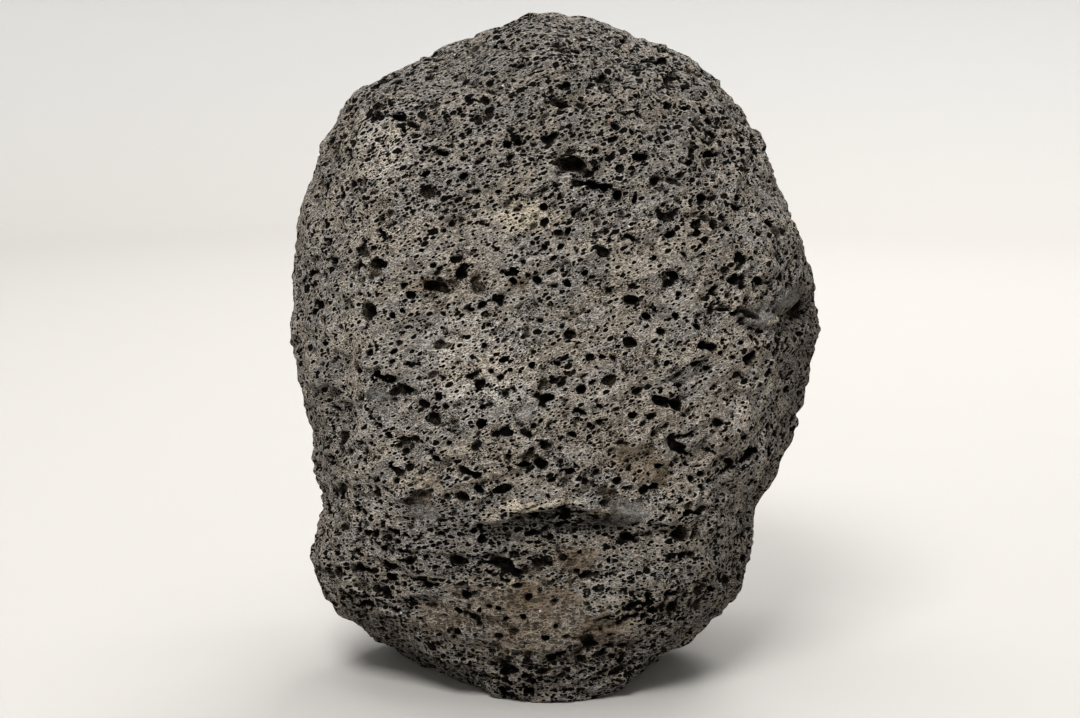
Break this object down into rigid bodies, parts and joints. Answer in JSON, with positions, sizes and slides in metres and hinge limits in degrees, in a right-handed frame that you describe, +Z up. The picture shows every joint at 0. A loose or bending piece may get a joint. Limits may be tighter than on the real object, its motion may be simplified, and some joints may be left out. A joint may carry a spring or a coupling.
{
  "type": "lava rock",
  "caption": "Upright lump of dark grey vesicular lava rock, pitted all over with open gas bubbles, that stands on the flat break at its foot.",
  "frame": {"origin": "on the plane of the foot, under the middle of the bounding box", "axes": "+Z up from the foot to the crown, -Y out of the broad face, +X to the right as seen from the broad face"},
  "size_m": [0.1482, 0.102, 0.1802],
  "materials": {
    "basalt": "dull, rough and open-pored, with paler grey rims and brown dust patches"
  },
  "bodies": {
    "root": {"lava_rock": "basalt"}
  },
  "joints": []
}
